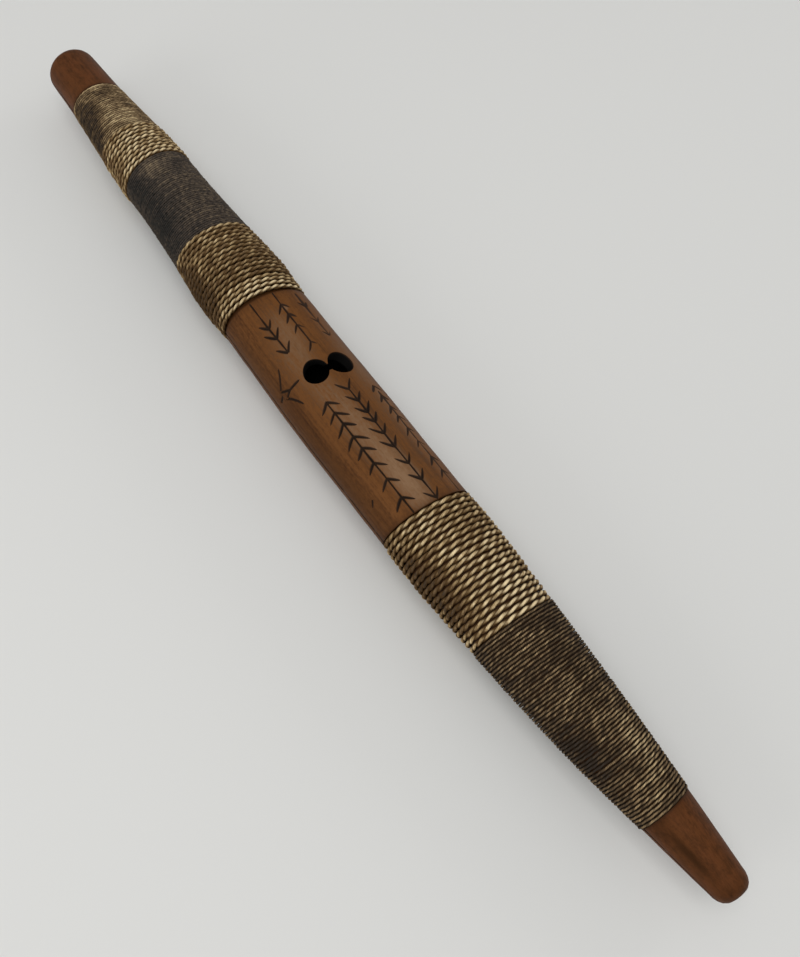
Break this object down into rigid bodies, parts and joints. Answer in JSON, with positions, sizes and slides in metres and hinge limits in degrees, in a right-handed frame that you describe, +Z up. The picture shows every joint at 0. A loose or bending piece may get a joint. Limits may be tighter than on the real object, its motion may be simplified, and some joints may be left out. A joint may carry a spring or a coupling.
{
  "type": "putorino",
  "caption": "Spindle-shaped wooden wind instrument in two hollowed halves, bound with cord, with a blowing hole, a figure-eight front opening and a small foot hole.",
  "frame": {"origin": "bottom centre of the box round the whole instrument, on the surface it lies on", "axes": "+X from the blowing end to the foot, +Z up out of the front opening, +Y to the right of the front seen with the blowing end at the left and the instrument's back on the ground"},
  "size_m": [0.488, 0.0446, 0.0436],
  "materials": {
    "wood": "oiled and handled mid-brown wood, satin",
    "gum": "dark plant gum, dull",
    "straw_cord": "two-ply plant-fibre cord, straw-coloured, darkened in the creases",
    "worn_fine_cord": "fine plant-fibre cord, dark brown with worn golden crests",
    "dark_fine_cord": "very fine plant-fibre cord, blackened brown"
  },
  "bodies": {
    "root": {"front_half": "wood", "back_half": "wood", "seam_gum_left": "gum", "seam_gum_right": "gum", "tip_whipping": "worn_fine_cord", "neck_lashing": "straw_cord", "upper_whipping": "dark_fine_cord", "upper_lashing": "straw_cord", "lower_lashing": "straw_cord", "lower_whipping": "worn_fine_cord"}
  },
  "joints": []
}
